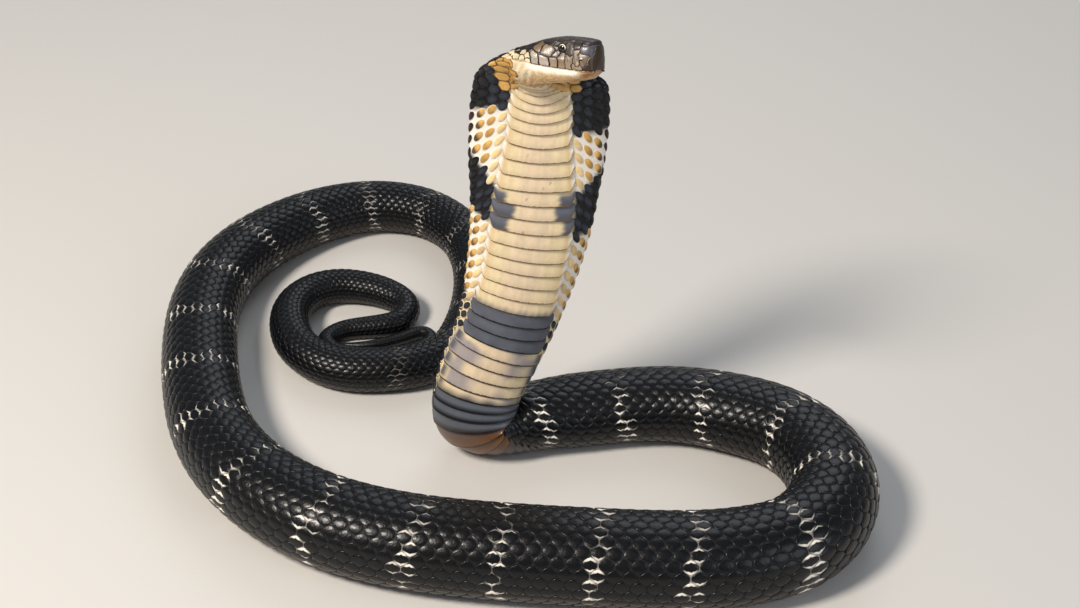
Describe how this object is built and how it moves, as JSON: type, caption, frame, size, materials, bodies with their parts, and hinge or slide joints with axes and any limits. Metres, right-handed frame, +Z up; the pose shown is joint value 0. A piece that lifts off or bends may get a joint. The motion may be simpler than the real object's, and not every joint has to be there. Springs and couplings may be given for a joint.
{
  "type": "king cobra, life-size display model",
  "caption": "King cobra reared with its hood spread and head turned, the rest of its long body lying in open loops with a small tail coil.",
  "frame": {"origin": "middle of the box that the animal fills, on the floor", "axes": "+Z up; +X to the viewer's right, the way the head points; -Y towards the viewer, the way the raised belly faces"},
  "size_m": [0.509, 0.4814, 0.3408],
  "materials": {
    "head_scales": "smooth brown head shields with dark seams, slightly glossy",
    "eye": "wet, clear, dark round pupil with a narrow bronze iris",
    "belly_scutes": "smooth cream belly scutes with slate bands, satin",
    "body_scales": "smooth blue-black scales with narrow cream cross bands, glossy"
  },
  "bodies": {
    "root": {"head": "head_scales", "eye_left": "eye", "eye_right": "eye", "hood_upper": "belly_scutes", "hood_lower": "belly_scutes", "neck": "belly_scutes", "neck_base": "belly_scutes", "body_01": "body_scales", "body_02": "body_scales", "body_03": "body_scales", "body_04": "body_scales", "body_05": "body_scales", "body_06": "body_scales", "body_07": "body_scales", "body_08": "body_scales", "body_09": "body_scales", "body_10": "body_scales", "body_11": "body_scales", "body_12": "body_scales", "tail_01": "body_scales", "tail_02": "body_scales", "tail_03": "body_scales", "tail_04": "body_scales", "tail_05": "body_scales", "tail_06": "body_scales", "tail_07": "body_scales", "tail_tip": "body_scales"}
  },
  "joints": []
}
